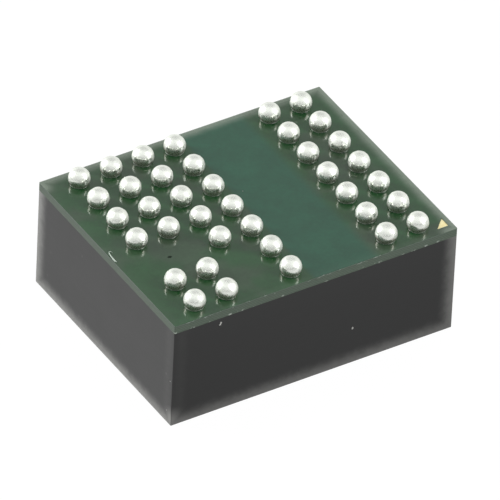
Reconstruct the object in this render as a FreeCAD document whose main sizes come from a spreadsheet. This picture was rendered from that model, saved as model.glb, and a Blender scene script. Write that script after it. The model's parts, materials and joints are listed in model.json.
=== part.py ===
"""Moulded ball-grid power module with an isolated transformer inside, lying ball side up.

The origin is the centre of the marking face, which the module rests on. X runs along the longer
side, and Z points out of the ball side. The pin-one corner is at +X and -Y. All sizes are in
millimetres.
"""
import FreeCAD
import Part
import Sketcher

import math
import os
import re

# Driving sizes: name, value and what it is
SIZES = (
    ("ball_pitch", 1.27, "distance between neighbouring ball centres"),
    ("ball_diameter", 0.78, "solder ball after reflow"),
    ("side_margin", 1.18, "outermost ball column to the board edge, along X"),
    ("end_margin", 0.69, "outermost ball row to the board edge, along Y"),
    ("cap_height", 4.00, "mould cap, marking face to laminate"),
    ("laminate_thickness", 0.28, "substrate laminate"),
    ("mask_thickness", 0.04, "solder resist over the bare laminate"),
    ("copper_thickness", 0.02, "copper foil on either side of the laminate"),
    ("mask_opening", 0.64, "round opening in the solder resist under each ball"),
    ("pour_reach", 0.42, "edge of a copper pour beyond its outermost ball centres"),
    ("pour_gap", 0.30, "isolation between two pours of one bank"),
    ("land_diameter", 0.76, "separate land of a signal ball"),
    ("land_gap", 0.12, "ring of bare laminate round a signal land"),
    ("mark_leg", 0.45, "short side of the triangular pin-one mark"),
    ("mark_inset_x", 0.19, "pin-one mark to the +X edge"),
    ("mark_inset_y", 0.28, "pin-one mark to the -Y edge"),
    ("side_cover", 0.35, "mould compound beside the inner parts"),
    ("marking_cover", 0.70, "mould compound between the transformer and the marking face"),
    ("zone_gap", 0.50, "gap between the transformer and the parts on either side of it"),
    ("core_end_cover", 1.10, "mould compound beyond the transformer core, along Y"),
    ("core_plate", 0.70, "back plate of a core half"),
    ("post_diameter", 2.00, "round centre post of the core"),
    ("post_air_gap", 0.10, "air gap between the two centre posts"),
    ("coil_inset", 0.15, "coil behind the open side of the core"),
    ("coil_side_gap", 0.12, "running gap between the coil and the core legs"),
    ("former_clearance", 0.05, "coil former to the post and to the back plates"),
    ("former_wall", 0.12, "wall and flanges of the coil former"),
    ("winding_wire", 0.18, "insulated wire of the windings"),
    ("lead_spread", 0.60, "winding lead beside the middle of the core"),
    ("lead_root", 0.45, "start of a winding lead inside the coil"),
    ("lead_pad_width", 0.30, "pad of a winding lead, along X"),
    ("lead_pad_length", 0.44, "pad of a winding lead, along Y"),
    ("pad_margin", 0.05, "pad beyond the part that is soldered to it"),
    ("body_inset", 0.03, "ceramic behind the faces of its end terminations"),
    ("input_cap_length", 3.20, "input capacitor"),
    ("input_cap_width", 1.60, "input capacitor"),
    ("input_cap_height", 1.60, "input capacitor"),
    ("output_cap_length", 2.00, "output capacitor"),
    ("output_cap_width", 1.25, "output capacitor"),
    ("output_cap_height", 1.25, "output capacitor"),
    ("bias_cap_length", 1.60, "bias capacitor"),
    ("bias_cap_width", 0.80, "bias capacitor"),
    ("bias_cap_height", 0.80, "bias capacitor"),
    ("resistor_length", 1.60, "feedback resistor"),
    ("resistor_width", 0.80, "feedback resistor"),
    ("resistor_height", 0.45, "feedback resistor"),
    ("termination", 0.35, "metal end of a chip capacitor or resistor"),
    ("chip_gap", 0.60, "gap between two chip parts side by side"),
    ("diode_length", 1.70, "moulded body of the rectifier diode"),
    ("diode_width", 1.25, "moulded body of the rectifier diode"),
    ("diode_height", 0.80, "moulded body of the rectifier diode"),
    ("diode_lead", 0.30, "flat lead beyond the diode's body"),
    ("diode_lead_width", 0.60, "flat lead of the diode"),
    ("diode_lead_thickness", 0.12, "flat lead of the diode"),
    ("die_length", 1.60, "controller die, along X"),
    ("die_width", 1.60, "controller die, along Y"),
    ("die_height", 0.25, "controller die"),
    ("attach_height", 0.03, "die attach layer"),
    ("finger_gap", 0.25, "bond finger to the die pad"),
    ("finger_length", 0.35, "bond finger"),
    ("finger_width", 0.18, "bond finger"),
    ("finger_pitch", 0.32, "distance between neighbouring bond fingers"),
    ("wire_diameter", 0.06, "bond wire"),
    ("wire_rise", 0.15, "top of a wire loop above the die"),
    ("wire_inset", 0.14, "bond on the die to the die's edge"),
)

# Ball rows that are filled in each column: column a is next to the pin-one edge
FILLED_ROWS = {
    "a": (1, 2, 3, 4, 5, 6, 7),
    "b": (1, 2, 3, 4, 5, 6, 7),
    "e": (1, 2, 3, 4, 5, 6, 7),
    "f": (3, 4, 5, 6, 7),
    "g": (1, 2, 4, 5, 6, 7),
    "h": (1, 2, 4, 5, 6, 7),
}
COLUMNS = "abcdefgh"
ROW_COUNT = 7
SIGNAL_BALLS = ("g7", "h4", "h5", "h6", "h7")
WIRES_PER_SIDE = 5

# Sizes that follow from the driving ones
DERIVED = (
    ("half_length", f"ball_pitch * {(len(COLUMNS) - 1) / 2} + side_margin"),
    ("half_width", f"ball_pitch * {(ROW_COUNT - 1) / 2} + end_margin"),
    ("neck_height", "mask_thickness - copper_thickness"),
    ("ball_centre", "neck_height + sqrt((ball_diameter / 2) ^ 2 - (mask_opening / 2) ^ 2)"),
    ("copper_floor", "cap_height - copper_thickness"),
    ("primary_zone", "input_cap_length + 2 * pad_margin"),
    ("secondary_zone", "output_cap_width + 2 * pad_margin"),
    ("primary_x", "-(half_length - side_cover - primary_zone / 2)"),
    ("secondary_x", "half_length - side_cover - secondary_zone / 2"),
    ("core_low_x", "-half_length + side_cover + primary_zone + zone_gap"),
    ("core_high_x", "half_length - side_cover - secondary_zone - zone_gap"),
    ("core_length", "core_high_x - core_low_x"),
    ("core_x", "(core_high_x + core_low_x) / 2"),
    ("core_width", "2 * (half_width - core_end_cover)"),
    ("core_height", "cap_height - marking_cover"),
    ("window_depth", "core_height / 2 - core_plate"),
    ("coil_radius", "core_length / 2 - coil_inset"),
    ("window_half", "coil_radius + coil_side_gap"),
    ("former_bore", "post_diameter / 2 + former_clearance"),
    ("former_half", "window_depth - former_clearance"),
    ("section_low", "former_wall / 2"),
    ("section_high", "former_half - former_wall"),
)

doc = FreeCAD.newDocument("power_module")
sheet = doc.addObject("Spreadsheet::Sheet", "Sizes")
sub_parts = []


def fill_sheet():
    """Write the driving sizes and the sizes that follow from them into the sheet."""
    row = 1
    for name, number, note in SIZES:
        sheet.set(f"A{row}", name)
        sheet.set(f"B{row}", str(number))
        sheet.setAlias(f"B{row}", name)
        sheet.set(f"C{row}", note)
        row += 1
    for name, formula in DERIVED:
        sheet.set(f"A{row}", name)
        sheet.set(f"B{row}", f"={formula}")
        sheet.setAlias(f"B{row}", name)
        row += 1
    doc.recompute()


def size(formula):
    """Return the value of a formula in the names of the sheet."""
    return float(sheet.evalExpression(formula))


def cells(formula):
    """Return a formula with each name of the sheet written as a cell of that sheet."""
    names = {name for name, *_ in SIZES + DERIVED}
    return re.sub(r"[a-z_]+", lambda word: f"Sizes.{word[0]}" if word[0] in names else word[0], formula)


def bind(item, formulas):
    """Bind properties of an object to formulas in the names of the sheet."""
    for name, formula in formulas.items():
        item.setExpression(name, cells(formula))


def place(item, x="0", y="0", z="0"):
    """Bind the place of an object's own origin."""
    bind(item, {"Placement.Base.x": x, "Placement.Base.y": y, "Placement.Base.z": z})


def keep(item, label):
    """Give a finished sub-part its name and put it on the list of pieces to write."""
    item.Label = label
    sub_parts.append(item)
    return item


def ball_x(column):
    """Return the X of a ball column as a formula."""
    return f"ball_pitch * {(len(COLUMNS) - 1) / 2 - COLUMNS.index(column)}"


def ball_y(row):
    """Return the Y of a ball row as a formula."""
    return f"ball_pitch * {row - (ROW_COUNT + 1) / 2}"


def ball_names():
    """Return the names of all balls, column by column."""
    return [f"{column}{row}" for column, rows in FILLED_ROWS.items() for row in rows]


def new_body(name):
    """Return an empty body."""
    return doc.addObject("PartDesign::Body", name)


def new_sketch(body, name, plane="XY_Plane"):
    """Return a sketch on one of the origin planes of its body."""
    sketch = body.newObject("Sketcher::SketchObject", name)
    support = next(item for item in body.Origin.OriginFeatures if item.Role == plane)
    sketch.AttachmentSupport = [(support, "")]
    sketch.MapMode = "FlatFace"
    return sketch


def pin_point(sketch, geometry, vertex, x, y):
    """Hold a point of a sketch at a place given by two formulas."""
    for kind, formula in (("DistanceX", x), ("DistanceY", y)):
        rule = Sketcher.Constraint(kind, -1, 1, geometry, vertex, size(formula))
        index = sketch.addConstraint(rule)
        sketch.setExpression(f"Constraints[{index}]", cells(formula))


def add_polygon(sketch, corners):
    """Draw a closed outline through corners given as pairs of formulas."""
    points = [FreeCAD.Vector(size(x), size(y), 0) for x, y in corners]
    first = sketch.GeometryCount
    count = len(points)
    for index, point in enumerate(points):
        sketch.addGeometry(Part.LineSegment(point, points[(index + 1) % count]), False)
    for index in range(count):
        following = first + (index + 1) % count
        sketch.addConstraint(Sketcher.Constraint("Coincident", first + index, 2, following, 1))
    for index, (x, y) in enumerate(corners):
        pin_point(sketch, first + index, 1, x, y)


def add_rectangle(sketch, half_x, half_y):
    """Draw a rectangle about the sketch's origin."""
    add_polygon(sketch, [(f"-{half_x}", f"-{half_y}"), (half_x, f"-{half_y}"),
                         (half_x, half_y), (f"-{half_x}", half_y)])


def add_circle(sketch, x, y, diameter):
    """Draw a circle given by formulas."""
    middle = FreeCAD.Vector(size(x), size(y), 0)
    circle = Part.Circle(middle, FreeCAD.Vector(0, 0, 1), size(diameter) / 2)
    geometry = sketch.addGeometry(circle, False)
    pin_point(sketch, geometry, 3, x, y)
    index = sketch.addConstraint(Sketcher.Constraint("Diameter", geometry, size(diameter)))
    sketch.setExpression(f"Constraints[{index}]", cells(diameter))


def pad(body, sketch, length):
    """Raise a sketch into a solid."""
    feature = body.newObject("PartDesign::Pad", f"{body.Name}_pad")
    feature.Profile = sketch
    bind(feature, {"Length": length})
    return feature


def pocket(body, sketch, depth, name):
    """Sink a sketch on the body's lowest plane upwards into the solid."""
    feature = body.newObject("PartDesign::Pocket", name)
    feature.Profile = sketch
    feature.Reversed = True
    bind(feature, {"Length": depth})
    return feature


def revolve(body, sketch):
    """Turn a sketch on the XZ plane round the body's Z axis."""
    feature = body.newObject("PartDesign::Revolution", f"{body.Name}_turn")
    feature.Profile = sketch
    feature.ReferenceAxis = (sketch, ["V_Axis"])
    feature.Angle = 360
    return feature


def make_plate(name, thickness, z):
    """Return a plate over the whole board."""
    body = new_body(name)
    sketch = new_sketch(body, f"{name}_outline")
    add_rectangle(sketch, "half_length", "half_width")
    pad(body, sketch, thickness)
    place(body, z=z)
    return body


def make_box(name, x, y, z, length, width, height):
    """Return a box centred on x and y that stands on z, all given as formulas."""
    box = doc.addObject("Part::Box", name)
    bind(box, {"Length": length, "Width": width, "Height": height})
    place(box, f"{x} - ( {length} ) / 2", f"{y} - ( {width} ) / 2", z)
    return box


def make_group(kind, name, members):
    """Join members into one fused solid or one group of separate solids."""
    group = doc.addObject(f"Part::{kind}", name)
    if kind == "Compound":
        group.Links = members
    else:
        group.Shapes = members
    return group


def make_pour(name, low_column, high_column, low_row, high_row):
    """Return a rectangular copper pour round a block of ball sites."""
    body = new_body(name)
    sketch = new_sketch(body, f"{name}_outline")
    low_x, high_x = ball_x(low_column) + " - pour_reach", ball_x(high_column) + " + pour_reach"
    low_y, high_y = ball_y(low_row) + " - pour_reach", ball_y(high_row) + " + pour_reach"
    add_polygon(sketch, [(low_x, low_y), (high_x, low_y), (high_x, high_y), (low_x, high_y)])
    pad(body, sketch, "copper_thickness")
    place(body, z="cap_height + laminate_thickness")
    return body


def make_ground_pour():
    """Return the pour of the wide bank: it leaves out the input pour and the signal lands."""
    body = new_body("ground_pour")
    sketch = new_sketch(body, "ground_outline")
    low_x, high_x = ball_x("h") + " - pour_reach", ball_x("e") + " + pour_reach"
    low_y, high_y = ball_y(1) + " - pour_reach", ball_y(7) + " + pour_reach"
    step_x = ball_x("g") + " + pour_reach + pour_gap"
    step_y = ball_y(2) + " + pour_reach + pour_gap"
    add_polygon(sketch, [(step_x, low_y), (high_x, low_y), (high_x, high_y),
                         (low_x, high_y), (low_x, step_y), (step_x, step_y)])
    pad(body, sketch, "copper_thickness")
    gaps = new_sketch(body, "land_gaps")
    for name in SIGNAL_BALLS:
        add_circle(gaps, ball_x(name[0]), ball_y(int(name[1])), "land_diameter + 2 * land_gap")
    pocket(body, gaps, "copper_thickness", "land_gap_pocket")
    place(body, z="cap_height + laminate_thickness")
    return body


def make_signal_lands():
    """Return the separate round land of each signal ball."""
    lands = []
    for name in SIGNAL_BALLS:
        land = doc.addObject("Part::Cylinder", f"land_{name}")
        bind(land, {"Radius": "land_diameter / 2", "Height": "copper_thickness"})
        place(land, ball_x(name[0]), ball_y(int(name[1])), "cap_height + laminate_thickness")
        lands.append(land)
    return lands


def make_ball_side_copper():
    """Return the etched foil of the ball side: four pours and the signal lands."""
    pours = [
        make_ground_pour(),
        make_pour("input_pour", "h", "g", 1, 2),
        make_pour("output_pour", "b", "a", 5, 7),
        make_pour("return_pour", "b", "a", 1, 4),
    ]
    return keep(make_group("Compound", "foil", pours + make_signal_lands()), "ball_side_copper")


def make_mark(name, thickness):
    """Return the triangle of the pin-one mark, which stands on the laminate."""
    body = new_body(name)
    sketch = new_sketch(body, f"{name}_outline")
    high_x, low_y = "half_length - mark_inset_x", "-half_width + mark_inset_y"
    add_polygon(sketch, [(high_x, low_y), (high_x, f"{low_y} + mark_leg"),
                         (f"{high_x} - mark_leg", low_y)])
    pad(body, sketch, thickness)
    place(body, z="cap_height + laminate_thickness")
    return body


def make_ball_side_mask(copper):
    """Return the solder resist, which lies over the foil and opens at each ball and the mark."""
    plate = make_plate("mask_plate", "mask_thickness", "cap_height + laminate_thickness")
    openings = new_sketch(plate, "mask_openings")
    for name in ball_names():
        add_circle(openings, ball_x(name[0]), ball_y(int(name[1])), "mask_opening")
    pocket(plate, openings, "mask_thickness", "opening_pocket")
    mask = doc.addObject("Part::Cut", "mask")
    mask.Base = plate
    mask.Tool = make_group("Compound", "under_mask", [copper, make_mark("mark_opening", "mask_thickness")])
    return keep(mask, "ball_side_mask")


def make_ball(name):
    """Return one solder ball: a sphere cut off where it wets the opening, with a short neck."""
    body = new_body(f"ball_{name}")
    sketch = new_sketch(body, f"ball_{name}_profile", "XZ_Plane")
    radius, neck = size("ball_diameter / 2"), size("mask_opening / 2")
    rise, middle = size("neck_height"), size("ball_centre")
    line, point = Part.LineSegment, FreeCAD.Vector
    sketch.addGeometry(line(point(0, 0, 0), point(neck, 0, 0)), False)
    sketch.addGeometry(line(point(neck, 0, 0), point(neck, rise, 0)), False)
    circle = Part.Circle(point(0, middle, 0), point(0, 0, 1), radius)
    start = -math.acos(neck / radius)
    sketch.addGeometry(Part.ArcOfCircle(circle, start, math.pi / 2), False)
    sketch.addGeometry(line(point(0, middle + radius, 0), point(0, 0, 0)), False)
    for first, second in ((0, 1), (1, 2), (2, 3), (3, 0)):
        sketch.addConstraint(Sketcher.Constraint("Coincident", first, 2, second, 1))
    sketch.addConstraint(Sketcher.Constraint("Coincident", 0, 1, -1, 1))
    sketch.addConstraint(Sketcher.Constraint("Horizontal", 0))
    sketch.addConstraint(Sketcher.Constraint("Vertical", 1))
    sketch.addConstraint(Sketcher.Constraint("Vertical", 3))
    pin_point(sketch, 2, 3, "0", "ball_centre")
    for kind, geometry, formula in (("Distance", 0, "mask_opening / 2"),
                                    ("Radius", 2, "ball_diameter / 2")):
        index = sketch.addConstraint(Sketcher.Constraint(kind, geometry, size(formula)))
        sketch.setExpression(f"Constraints[{index}]", cells(formula))
    revolve(body, sketch)
    place(body, ball_x(name[0]), ball_y(int(name[1])),
          "cap_height + laminate_thickness + copper_thickness")
    return keep(body, f"solder_ball_{name}")


class Pads:
    """The pads of the component side, collected while the inner parts are placed."""

    def __init__(self):
        self.members = []

    def add(self, x, y, length, width):
        """Add one pad under the laminate, centred on x and y."""
        name = f"pad_{len(self.members) + 1}"
        box = make_box(name, x, y, "copper_floor", length, width, "copper_thickness")
        self.members.append(box)


def make_chip_part(label, stem, x, y, along_x, pads):
    """Return a chip capacitor or resistor: ceramic with a metal termination at each end."""
    length, width, height = f"{stem}_length", f"{stem}_width", f"{stem}_height"
    inner = f"{length} - 2 * termination", f"{width} - 2 * body_inset"
    floor = f"copper_floor - {height}"
    sizes = inner if along_x else inner[::-1]
    ceramic = make_box(f"{label}_ceramic", x, y, f"{floor} + body_inset", *sizes,
                       f"{height} - 2 * body_inset")
    members = [ceramic]
    for end in ("-", "+"):
        shift = f"{end} ( {length} - termination ) / 2"
        end_x, end_y = (f"{x} {shift}", y) if along_x else (x, f"{y} {shift}")
        sizes = ("termination", width) if along_x else (width, "termination")
        members.append(make_box(f"{label}_end_{len(members)}", end_x, end_y, floor, *sizes, height))
        pads.add(end_x, end_y, *(f"{side} + 2 * pad_margin" for side in sizes))
    return keep(make_group("MultiFuse", label, members), label)


def make_diode(pads):
    """Return the rectifier diode: a moulded body with a flat lead at each end."""
    x, y = "secondary_x", "-( chip_gap + diode_length ) / 2 - diode_lead"
    floor = "copper_floor - diode_height"
    members = [make_box("diode_body", x, y, floor, "diode_width", "diode_length", "diode_height")]
    for end in ("-", "+"):
        lead_y = f"{y} {end} ( diode_length + diode_lead ) / 2"
        members.append(make_box(f"diode_lead_{len(members)}", x, lead_y,
                                "copper_floor - diode_lead_thickness",
                                "diode_lead_width", "diode_lead", "diode_lead_thickness"))
        pads.add(x, lead_y, *(f"{side} + 2 * pad_margin" for side in ("diode_lead_width", "diode_lead")))
    return keep(make_group("MultiFuse", "diode", members), "rectifier_diode")


def make_controller(pads):
    """Return the controller die and the layer that bonds it to its pad."""
    pads.add("primary_x", "0", "die_length + 2 * pad_margin", "die_width + 2 * pad_margin")
    attach = make_box("attach", "primary_x", "0", "copper_floor - attach_height",
                      "die_length", "die_width", "attach_height")
    die = make_box("die", "primary_x", "0", "copper_floor - attach_height - die_height",
                   "die_length", "die_width", "die_height")
    return [keep(attach, "die_attach"), keep(die, "controller_die")]


def tube_between(start, end, radius):
    """Return a round bar between two points."""
    run = end - start
    return Part.makeCylinder(radius, run.Length, start, run)


def bent_wire(points, radius):
    """Return one solid wire through the points, with a ball at each bend."""
    pieces = [tube_between(a, b, radius) for a, b in zip(points, points[1:])]
    bends = [Part.makeSphere(radius, point) for point in points[1:-1]]
    return pieces[0].fuse(pieces[1:] + bends).removeSplitter()


def make_bond_wires(pads):
    """Return the wire loops from the die to its two rows of bond fingers."""
    radius = size("wire_diameter / 2")
    die_floor = size("copper_floor - attach_height - die_height")
    loop_floor = die_floor - size("wire_rise")
    bond_y = size("die_width / 2 - wire_inset")
    reach = "die_width / 2 + pad_margin + finger_gap + finger_length / 2"
    wires = []
    for side in (-1, 1):
        for number in range(WIRES_PER_SIDE):
            step = number - (WIRES_PER_SIDE - 1) / 2
            finger_x, finger_y = f"primary_x + finger_pitch * {step}", f"{side} * ( {reach} )"
            pads.add(finger_x, finger_y, "finger_width", "finger_length")
            x, near, far = size(finger_x), side * bond_y, size(finger_y)
            route = [FreeCAD.Vector(x, near, die_floor), FreeCAD.Vector(x, near, loop_floor),
                     FreeCAD.Vector(x, far, loop_floor), FreeCAD.Vector(x, far, size("copper_floor"))]
            wires.append(bent_wire(route, radius))
    group = doc.addObject("Part::Feature", "wires")
    group.Shape = Part.makeCompound(wires)
    return keep(group, "bond_wires")


def make_core_half(label, turned):
    """Return one half of the ferrite core: a back plate, two legs and a round centre post."""
    body = new_body(label)
    block = new_sketch(body, f"{label}_block")
    add_rectangle(block, "core_length / 2", "core_width / 2")
    pad(body, block, "core_height / 2")
    window = new_sketch(body, f"{label}_window")
    window.setExpression("AttachmentOffset.Base.z", cells("core_plate"))
    add_rectangle(window, "core_length / 2", "window_half")
    add_circle(window, "0", "0", "post_diameter")
    pocket(body, window, "window_depth", f"{label}_window_pocket")
    gap = new_sketch(body, f"{label}_gap")
    gap.setExpression("AttachmentOffset.Base.z", cells("core_height / 2 - post_air_gap / 2"))
    add_circle(gap, "0", "0", "post_diameter")
    pocket(body, gap, "post_air_gap / 2", f"{label}_gap_pocket")
    if turned:
        body.Placement.Rotation = FreeCAD.Rotation(FreeCAD.Vector(1, 0, 0), 180)
    place(body, "core_x", "0", "cap_height" if turned else "marking_cover")
    return keep(body, label)


def make_coil_former():
    """Return the spool that carries the two windings, one on each side of its middle flange."""
    body = new_body("former")
    sketch = new_sketch(body, "former_profile", "XZ_Plane")
    tube, rim, half, wall = "former_bore + former_wall", "coil_radius", "former_half", "section_low"
    inner = "section_high"
    add_polygon(sketch, [
        ("former_bore", f"-{half}"), (rim, f"-{half}"), (rim, f"-{inner}"), (tube, f"-{inner}"),
        (tube, f"-{wall}"), (rim, f"-{wall}"), (rim, wall), (tube, wall),
        (tube, inner), (rim, inner), (rim, half), ("former_bore", half),
    ])
    revolve(body, sketch)
    place(body, "core_x", "0", "marking_cover + core_height / 2")
    return keep(body, "coil_former")


def make_winding(label, level, side):
    """Return one winding: layers of round wire on the former and two leads down to their pads.

    level is 1 for the section next to the laminate and -1 for the other one, and side is the
    end of the module, along X, that the leads come out at.
    """
    wire = size("winding_wire / 2")
    low, section = size("section_low"), size("section_high - section_low")
    turns = max(1, int(round(section / (2 * wire), 6)))
    inner, outer = size("former_bore + former_wall"), size("coil_radius") - wire
    middle = FreeCAD.Vector(size("core_x"), 0, size("marking_cover + core_height / 2"))
    foot = FreeCAD.Vector(0, 0, low)
    coil = Part.makeCylinder(outer, section, foot)
    rows = [Part.makeTorus(outer, wire, FreeCAD.Vector(0, 0, low + (row + 0.5) * section / turns))
            for row in range(turns)]
    coil = coil.fuse(rows).cut(Part.makeCylinder(inner, section, foot))
    if level < 0:
        coil.rotate(FreeCAD.Vector(), FreeCAD.Vector(1, 0, 0), 180)
    coil.translate(middle)
    lead_z = middle.z + level * (low + section / 2)
    lead_x = side * (size("core_length / 2") + size("zone_gap / 2")) + middle.x
    leads = []
    for lead_y in (-size("lead_spread"), size("lead_spread")):
        route = [FreeCAD.Vector(middle.x + side * (outer - size("lead_root")), lead_y, lead_z),
                 FreeCAD.Vector(lead_x, lead_y, lead_z),
                 FreeCAD.Vector(lead_x, lead_y, size("copper_floor"))]
        leads.append(bent_wire(route, wire))
    winding = doc.addObject("Part::Feature", label)
    winding.Shape = coil.fuse(leads)
    return keep(winding, label)


def make_transformer(pads):
    """Return the core halves, the coil former and the windings."""
    parts = [make_core_half("core_half_laminate_side", True),
             make_core_half("core_half_marking_side", False),
             make_coil_former(),
             make_winding("primary_winding", 1, -1),
             make_winding("secondary_winding", -1, 1)]
    for lead_x in ("core_low_x - zone_gap / 2", "core_high_x + zone_gap / 2"):
        for sign in ("-", ""):
            pads.add(lead_x, f"{sign}lead_spread", "lead_pad_width", "lead_pad_length")
    return parts


def make_mould_cap(inner_parts, windings):
    """Return the mould cap, formed round the inner parts and the transformer's outline."""
    block = make_plate("mould_block", "cap_height", "0")
    envelope = make_box("transformer_space", "core_x", "0", "marking_cover",
                        "core_length", "core_width", "core_height")
    cap = doc.addObject("Part::Cut", "cap")
    cap.Base = block
    cap.Tool = make_group("MultiFuse", "inner_space", [envelope] + windings + inner_parts)
    return keep(cap, "mould_cap")


def build_module():
    """Build every sub-part of the module."""
    keep(make_plate("laminate", "laminate_thickness", "cap_height"), "substrate_laminate")
    copper = make_ball_side_copper()
    keep(make_mark("mark", "copper_thickness"), "pin_one_mark")
    make_ball_side_mask(copper)
    for name in ball_names():
        make_ball(name)
    pads = Pads()
    near_end = "-( half_width - side_cover - input_cap_width / 2 )"
    far_end = "half_width - side_cover"
    column = "( bias_cap_width / 2 + chip_gap / 2 )"
    second = "( resistor_width / 2 + chip_gap / 2 )"
    inner = [
        make_chip_part("input_capacitor", "input_cap", "primary_x", near_end, True, pads),
        make_chip_part("bias_capacitor", "bias_cap", f"primary_x - {column}",
                       f"{far_end} - bias_cap_length / 2", False, pads),
        make_chip_part("feedback_resistor", "resistor", f"primary_x + {second}",
                       f"{far_end} - resistor_length / 2", False, pads),
        make_chip_part("output_capacitor", "output_cap", "secondary_x",
                       "( chip_gap + output_cap_length ) / 2", False, pads),
        make_diode(pads),
    ]
    inner += make_controller(pads)
    inner.append(make_bond_wires(pads))
    transformer = make_transformer(pads)
    inner.append(keep(make_group("Compound", "pads", pads.members), "component_side_copper"))
    make_mould_cap(inner, transformer[-2:])


def check_model():
    """Stop if any object has failed or any sub-part has no sound shape."""
    for item in doc.Objects:
        if "Invalid" in item.State or "Error" in item.State:
            raise RuntimeError(f"{item.Label} has failed: {item.State}")
    for item in sub_parts:
        if item.Shape.isNull() or not item.Shape.isValid() or item.Shape.Volume <= 0:
            raise RuntimeError(f"{item.Label} has no sound shape")


def write_parts():
    """Write each sub-part to a file of its own."""
    os.makedirs("parts", exist_ok=True)
    for item in sub_parts:
        item.Shape.exportStep(f"parts/{item.Label}.step")
        solids = len(item.Shape.Solids)
        print(f"{item.Label}: {solids} solid(s), {item.Shape.Volume:.4f} mm3")


fill_sheet()
build_module()
doc.recompute()
check_model()
write_parts()
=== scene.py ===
"""Looks of a moulded ball-grid power module that lies on its marking face, ball side up.

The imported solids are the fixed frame. This file gives each of them a finish, puts finer pieces in
place of the solder balls and the sawn package, and adds the small marks of sawing and handling. The
origin is the centre of the marking face, X runs along the longer side and Z points out of the ball
side. Meshes are in metres. Sizes in the classes are in millimetres, and angles in degrees.
"""
from __future__ import annotations

import json
import logging
import math
import random
from dataclasses import dataclass
from enum import Enum
from typing import Any, ClassVar, Dict, Iterable, List, NamedTuple, Sequence, Tuple, Union

import bmesh
import bpy
from mathutils import Matrix, Vector, noise

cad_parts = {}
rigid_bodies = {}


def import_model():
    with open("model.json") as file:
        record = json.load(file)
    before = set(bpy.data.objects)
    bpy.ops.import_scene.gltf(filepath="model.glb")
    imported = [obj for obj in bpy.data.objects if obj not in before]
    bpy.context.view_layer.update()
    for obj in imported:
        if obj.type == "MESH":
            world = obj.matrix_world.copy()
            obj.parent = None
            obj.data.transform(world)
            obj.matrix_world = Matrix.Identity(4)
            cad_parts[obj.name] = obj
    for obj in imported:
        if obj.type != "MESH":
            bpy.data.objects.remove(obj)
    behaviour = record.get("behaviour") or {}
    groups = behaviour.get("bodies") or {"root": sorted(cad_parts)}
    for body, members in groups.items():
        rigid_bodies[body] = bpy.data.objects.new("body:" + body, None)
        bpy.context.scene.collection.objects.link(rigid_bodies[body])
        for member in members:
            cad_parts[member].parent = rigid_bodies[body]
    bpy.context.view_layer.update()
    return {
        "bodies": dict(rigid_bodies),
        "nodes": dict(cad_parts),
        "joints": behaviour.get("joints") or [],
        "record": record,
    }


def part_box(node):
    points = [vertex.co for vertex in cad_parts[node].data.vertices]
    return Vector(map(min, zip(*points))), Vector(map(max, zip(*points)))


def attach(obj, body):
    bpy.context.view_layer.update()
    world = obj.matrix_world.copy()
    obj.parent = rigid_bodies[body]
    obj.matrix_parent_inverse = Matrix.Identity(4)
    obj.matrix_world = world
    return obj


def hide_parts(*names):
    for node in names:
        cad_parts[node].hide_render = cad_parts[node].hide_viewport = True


LOG = logging.getLogger("power_module")
MM = 0.001
MICRON = 0.000001
ROOT = "root"

# Sides of the package: half its length and width, and its height up to the resist
HALF_LENGTH = 5.625
HALF_WIDTH = 4.5
TOP = 4.32
PACKAGE = (HALF_LENGTH, HALF_WIDTH, TOP)
BOARD_LOW = 4.0
# Slacks, in metres: points to merge, points on a cutting plane and ends on a side
JOIN_SLACK = 1e-8
CUT_SLACK = 1e-9
SIDE_SLACK = 1e-7

# The colour sockets of Blender's Mix node
MIX_FIRST = 6
MIX_SECOND = 7
MIX_RESULT = 2

Colour = Tuple[float, float, float]
Point = Tuple[float, float, float]
Step = Tuple[float, float]
Socket = bpy.types.NodeSocket
Outputs = bpy.types.bpy_prop_collection
Feed = Union[float, Sequence[float], Socket]
BMesh = bmesh.types.BMesh
Material = bpy.types.Material


def metres(point: Sequence[float]) -> Vector:
    """Return a point given in millimetres as a vector in metres."""
    return Vector(point) * MM


def heading(turn: float, rise: float) -> Vector:
    """Work out a direction.

    Args:
        turn: Its turn from -Y towards +X, in degrees.
        rise: Its rise over the level, in degrees.

    Returns:
        The direction as a unit vector.
    """
    turned = math.radians(turn)
    risen = math.radians(rise)
    flat = math.cos(risen)
    return Vector((math.sin(turned) * flat, -math.cos(turned) * flat, math.sin(risen)))


def show(title: str, data: Any) -> bpy.types.Object:
    """Link a new object to the scene.

    Args:
        title: Its name.
        data: Its mesh, lamp or camera.

    Returns:
        The object.
    """
    made = bpy.data.objects.new(title, data)
    bpy.context.scene.collection.objects.link(made)
    return made


def show_mesh(title: str, shape: BMesh, material: Material) -> bpy.types.Object:
    """Turn a bmesh into a new object of the scene, and free the bmesh.

    Args:
        title: The object's name.
        shape: Its geometry, in place, in metres.
        material: Its one material.

    Returns:
        The object.
    """
    mesh = bpy.data.meshes.new(title)
    shape.to_mesh(mesh)
    shape.free()
    mesh.materials.append(material)
    return show(title, mesh)


def open_rim(shape: BMesh) -> List[bmesh.types.BMEdge]:
    """Return the edges of a shape's open border."""
    return [edge for edge in shape.edges if edge.is_boundary]


def vertices(geometry: Iterable[Any]) -> List[bmesh.types.BMVert]:
    """Return the vertices among mixed bmesh elements."""
    return [item for item in geometry if isinstance(item, bmesh.types.BMVert)]


class Cloud(NamedTuple):
    """A noise, and the step that makes a mask of it.

    Attributes:
        scale: Lumps per millimetre.
        detail: How many finer layers it has.
        rough: How strong these are.
        low: Where the mask is 0.
        high: Where the mask is 1.
    """

    scale: Feed
    detail: float = 2.0
    rough: float = 0.5
    low: float = 0.25
    high: float = 0.75


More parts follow.
